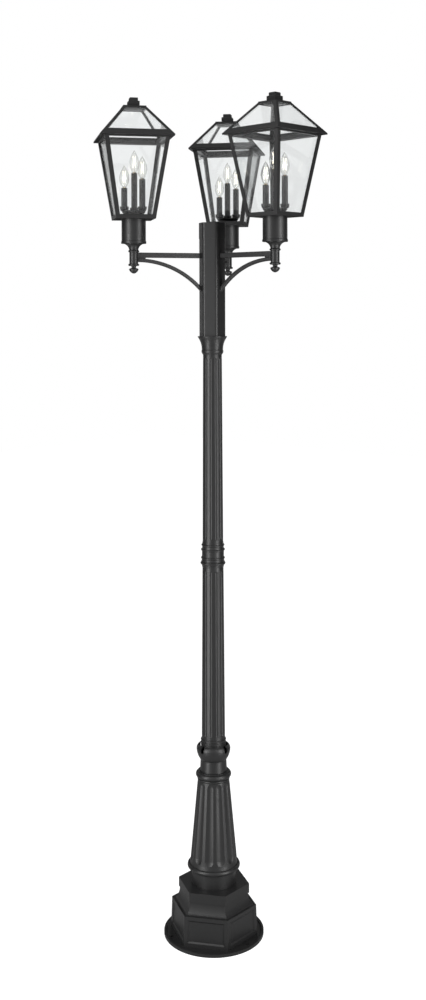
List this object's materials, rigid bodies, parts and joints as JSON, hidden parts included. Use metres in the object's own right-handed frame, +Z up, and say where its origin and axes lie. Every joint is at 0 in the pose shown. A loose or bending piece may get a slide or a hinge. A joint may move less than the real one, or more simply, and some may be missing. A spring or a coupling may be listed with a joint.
{
  "type": "garden lamp post",
  "caption": "Fluted garden lamp post on a hexagonal plinth, with arms that carry turning four-sided glazed lanterns of candle lamps.",
  "frame": {"origin": "centre of the foot flange's bolt circle, on its underside at ground level", "axes": "+Z up along the post's axis; arm 1 points along +X, arms 2 and 3 at 120 and 240 degrees about +Z"},
  "size_m": [0.7598, 0.8714, 3.0226],
  "materials": {
    "coat": "satin powder coat",
    "pane": "clear",
    "socket": "moulded",
    "lamp": "clear"
  },
  "bodies": {
    "post": {"base_flange": "coat", "plinth_cove": "coat", "base_bell": "coat", "leaf_collar": "coat", "lower_shaft": "coat", "coupling": "coat", "upper_shaft": "coat", "capital_collar": "coat", "head_tube": "coat", "head_cap": "coat", "post_set_screws": "coat", "arm_1": "coat", "arm_2": "coat", "arm_3": "coat", "holder_1": "coat", "holder_2": "coat", "holder_3": "coat", "pendant_1": "coat", "pendant_2": "coat", "pendant_3": "coat"},
    "lantern_1": {"fitter_1": "coat", "fitter_screws_1": "coat", "frame_1": "coat", "side_glass_1": "pane", "candle_hub_1": "coat", "candle_sleeves_1": "coat", "lamp_holders_1": "socket"},
    "roof_1": {"roof_frame_1": "coat", "roof_glass_1": "pane", "finial_1": "coat"},
    "bulb_low_1": {"bulb_low_1": "lamp"},
    "bulb_mid_1": {"bulb_mid_1": "lamp"},
    "bulb_high_1": {"bulb_high_1": "lamp"},
    "lantern_2": {"fitter_2": "coat", "fitter_screws_2": "coat", "frame_2": "coat", "side_glass_2": "pane", "candle_hub_2": "coat", "candle_sleeves_2": "coat", "lamp_holders_2": "socket"},
    "roof_2": {"roof_frame_2": "coat", "roof_glass_2": "pane", "finial_2": "coat"},
    "bulb_low_2": {"bulb_low_2": "lamp"},
    "bulb_mid_2": {"bulb_mid_2": "lamp"},
    "bulb_high_2": {"bulb_high_2": "lamp"},
    "lantern_3": {"fitter_3": "coat", "fitter_screws_3": "coat", "frame_3": "coat", "side_glass_3": "pane", "candle_hub_3": "coat", "candle_sleeves_3": "coat", "lamp_holders_3": "socket"},
    "roof_3": {"roof_frame_3": "coat", "roof_glass_3": "pane", "finial_3": "coat"},
    "bulb_low_3": {"bulb_low_3": "lamp"},
    "bulb_mid_3": {"bulb_mid_3": "lamp"},
    "bulb_high_3": {"bulb_high_3": "lamp"}
  },
  "joints": [
    {"name": "lantern_1_turn", "type": "hinge", "parent": "post", "child": "lantern_1", "pos_m": [0.2945, 0, 2.5024], "axis": [0, 0, 1], "range_deg": [-180, 180]},
    {"name": "roof_1_lift", "type": "slide", "parent": "lantern_1", "child": "roof_1", "axis": [0, 0, 1], "range_m": [0, 0.15]},
    {"name": "bulb_low_1_lift", "type": "slide", "parent": "lantern_1", "child": "bulb_low_1", "axis": [0, 0, 1], "range_m": [0, 0.022]},
    {"name": "bulb_mid_1_lift", "type": "slide", "parent": "lantern_1", "child": "bulb_mid_1", "axis": [0, 0, 1], "range_m": [0, 0.022]},
    {"name": "bulb_high_1_lift", "type": "slide", "parent": "lantern_1", "child": "bulb_high_1", "axis": [0, 0, 1], "range_m": [0, 0.022]},
    {"name": "lantern_2_turn", "type": "hinge", "parent": "post", "child": "lantern_2", "pos_m": [-0.14725, 0.25504, 2.5024], "axis": [0, 0, 1], "range_deg": [-180, 180]},
    {"name": "roof_2_lift", "type": "slide", "parent": "lantern_2", "child": "roof_2", "axis": [0, 0, 1], "range_m": [0, 0.15]},
    {"name": "bulb_low_2_lift", "type": "slide", "parent": "lantern_2", "child": "bulb_low_2", "axis": [0, 0, 1], "range_m": [0, 0.022]},
    {"name": "bulb_mid_2_lift", "type": "slide", "parent": "lantern_2", "child": "bulb_mid_2", "axis": [0, 0, 1], "range_m": [0, 0.022]},
    {"name": "bulb_high_2_lift", "type": "slide", "parent": "lantern_2", "child": "bulb_high_2", "axis": [0, 0, 1], "range_m": [0, 0.022]},
    {"name": "lantern_3_turn", "type": "hinge", "parent": "post", "child": "lantern_3", "pos_m": [-0.14725, -0.25504, 2.5024], "axis": [0, 0, 1], "range_deg": [-180, 180]},
    {"name": "roof_3_lift", "type": "slide", "parent": "lantern_3", "child": "roof_3", "axis": [0, 0, 1], "range_m": [0, 0.15]},
    {"name": "bulb_low_3_lift", "type": "slide", "parent": "lantern_3", "child": "bulb_low_3", "axis": [0, 0, 1], "range_m": [0, 0.022]},
    {"name": "bulb_mid_3_lift", "type": "slide", "parent": "lantern_3", "child": "bulb_mid_3", "axis": [0, 0, 1], "range_m": [0, 0.022]},
    {"name": "bulb_high_3_lift", "type": "slide", "parent": "lantern_3", "child": "bulb_high_3", "axis": [0, 0, 1], "range_m": [0, 0.022]}
  ]
}
